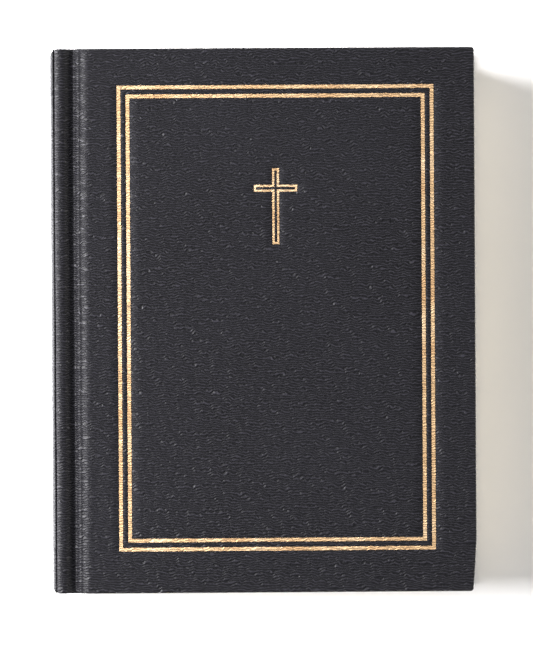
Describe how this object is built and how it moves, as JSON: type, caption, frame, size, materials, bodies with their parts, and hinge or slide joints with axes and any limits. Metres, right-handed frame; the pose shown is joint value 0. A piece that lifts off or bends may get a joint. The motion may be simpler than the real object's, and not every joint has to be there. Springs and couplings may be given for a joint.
{
  "type": "case-bound book",
  "caption": "Thick case-bound bible: grained black leather case with a rounded spine and grooved joints, gold rule frame and outlined cross, sewn page block, opening covers.",
  "frame": {"origin": "middle of the bottom of the closed book, which lies on its back cover", "axes": "+X from the spine to the fore-edge, +Y from tail to head, +Z from the back cover to the front cover"},
  "size_m": [0.14, 0.18, 0.032],
  "materials": {
    "black_leather": "grained, semi-matt",
    "gold_foil": "hot-blocked foil, satin",
    "grey_board": "matt",
    "spine_card": "matt",
    "endpaper": "matt, slightly toothed",
    "thin_paper": "matt, thin",
    "lining_paper": "matt kraft",
    "gauze": "open weave",
    "thread": "twisted",
    "band": "woven stripes"
  },
  "bodies": {
    "book_block": {"section_01": "thin_paper", "section_02": "thin_paper", "section_03": "thin_paper", "section_04": "thin_paper", "section_05": "thin_paper", "section_06": "thin_paper", "section_07": "thin_paper", "section_08": "thin_paper", "section_09": "thin_paper", "section_10": "thin_paper", "section_11": "thin_paper", "section_12": "thin_paper", "section_13": "thin_paper", "section_14": "thin_paper", "section_15": "thin_paper", "section_16": "thin_paper", "section_17": "thin_paper", "sewing_thread": "thread", "spine_mull": "gauze", "spine_lining": "lining_paper", "head_band": "band", "tail_band": "band", "spine_leather": "black_leather", "spine_strip": "spine_card", "front_joint_leather": "black_leather", "front_mull_joint": "gauze", "front_endpaper_joint": "endpaper", "back_joint_leather": "black_leather", "back_mull_joint": "gauze", "back_endpaper_joint": "endpaper"},
    "front_cover": {"front_board": "grey_board", "front_cover_leather": "black_leather", "front_mull_flap": "gauze", "front_pastedown": "endpaper", "gold_outer_rule": "gold_foil", "gold_inner_rule": "gold_foil", "gold_cross": "gold_foil"},
    "back_cover": {"back_board": "grey_board", "back_cover_leather": "black_leather", "back_mull_flap": "gauze", "back_pastedown": "endpaper"},
    "front_flyleaf_sheet": {"front_flyleaf": "endpaper"},
    "front_leaf_1_sheet": {"front_leaf_1": "thin_paper"},
    "front_leaf_2_sheet": {"front_leaf_2": "thin_paper"},
    "front_leaf_3_sheet": {"front_leaf_3": "thin_paper"},
    "front_leaf_4_sheet": {"front_leaf_4": "thin_paper"},
    "front_leaf_5_sheet": {"front_leaf_5": "thin_paper"},
    "front_leaf_6_sheet": {"front_leaf_6": "thin_paper"},
    "back_flyleaf_sheet": {"back_flyleaf": "endpaper"},
    "back_leaf_1_sheet": {"back_leaf_1": "thin_paper"},
    "back_leaf_2_sheet": {"back_leaf_2": "thin_paper"},
    "back_leaf_3_sheet": {"back_leaf_3": "thin_paper"}
  },
  "joints": [
    {"name": "front_cover_hinge", "type": "hinge", "parent": "book_block", "child": "front_cover", "pos_m": [-0.064, 0, 0.0323], "axis": [0, -1, 0], "range_deg": [0, 180], "deforming": ["front_joint_leather", "front_mull_joint", "front_endpaper_joint"]},
    {"name": "back_cover_hinge", "type": "hinge", "parent": "book_block", "child": "back_cover", "pos_m": [-0.064, 0, -0.0003], "axis": [0, 1, 0], "range_deg": [0, 180], "deforming": ["back_joint_leather", "back_mull_joint", "back_endpaper_joint"]},
    {"name": "front_flyleaf_turn", "type": "hinge", "parent": "book_block", "child": "front_flyleaf_sheet", "pos_m": [-0.064, 0, 0.0323], "axis": [0, -1, 0], "range_deg": [0, 180]},
    {"name": "front_leaf_1_turn", "type": "hinge", "parent": "book_block", "child": "front_leaf_1_sheet", "pos_m": [-0.064, 0, 0.0323], "axis": [0, -1, 0], "range_deg": [0, 180]},
    {"name": "front_leaf_2_turn", "type": "hinge", "parent": "book_block", "child": "front_leaf_2_sheet", "pos_m": [-0.064, 0, 0.0323], "axis": [0, -1, 0], "range_deg": [0, 180]},
    {"name": "front_leaf_3_turn", "type": "hinge", "parent": "book_block", "child": "front_leaf_3_sheet", "pos_m": [-0.064, 0, 0.0323], "axis": [0, -1, 0], "range_deg": [0, 180]},
    {"name": "front_leaf_4_turn", "type": "hinge", "parent": "book_block", "child": "front_leaf_4_sheet", "pos_m": [-0.064, 0, 0.0323], "axis": [0, -1, 0], "range_deg": [0, 180]},
    {"name": "front_leaf_5_turn", "type": "hinge", "parent": "book_block", "child": "front_leaf_5_sheet", "pos_m": [-0.064, 0, 0.0323], "axis": [0, -1, 0], "range_deg": [0, 180]},
    {"name": "front_leaf_6_turn", "type": "hinge", "parent": "book_block", "child": "front_leaf_6_sheet", "pos_m": [-0.064, 0, 0.0323], "axis": [0, -1, 0], "range_deg": [0, 180]},
    {"name": "back_flyleaf_turn", "type": "hinge", "parent": "book_block", "child": "back_flyleaf_sheet", "pos_m": [-0.064, 0, -0.0003], "axis": [0, 1, 0], "range_deg": [0, 180]},
    {"name": "back_leaf_1_turn", "type": "hinge", "parent": "book_block", "child": "back_leaf_1_sheet", "pos_m": [-0.064, 0, -0.0003], "axis": [0, 1, 0], "range_deg": [0, 180]},
    {"name": "back_leaf_2_turn", "type": "hinge", "parent": "book_block", "child": "back_leaf_2_sheet", "pos_m": [-0.064, 0, -0.0003], "axis": [0, 1, 0], "range_deg": [0, 180]},
    {"name": "back_leaf_3_turn", "type": "hinge", "parent": "book_block", "child": "back_leaf_3_sheet", "pos_m": [-0.064, 0, -0.0003], "axis": [0, 1, 0], "range_deg": [0, 180]}
  ],
  "couplings": [
    {"joint": "front_flyleaf_turn", "follows": "front_cover_hinge", "ratio": 0.95},
    {"joint": "front_leaf_1_turn", "follows": "front_cover_hinge", "ratio": 0.89},
    {"joint": "front_leaf_2_turn", "follows": "front_cover_hinge", "ratio": 0.82},
    {"joint": "front_leaf_3_turn", "follows": "front_cover_hinge", "ratio": 0.72},
    {"joint": "front_leaf_4_turn", "follows": "front_cover_hinge", "ratio": 0.59},
    {"joint": "front_leaf_5_turn", "follows": "front_cover_hinge", "ratio": 0.42},
    {"joint": "front_leaf_6_turn", "follows": "front_cover_hinge", "ratio": 0.22},
    {"joint": "back_flyleaf_turn", "follows": "back_cover_hinge", "ratio": 0.94},
    {"joint": "back_leaf_1_turn", "follows": "back_cover_hinge", "ratio": 0.82},
    {"joint": "back_leaf_2_turn", "follows": "back_cover_hinge", "ratio": 0.62},
    {"joint": "back_leaf_3_turn", "follows": "back_cover_hinge", "ratio": 0.32}
  ]
}
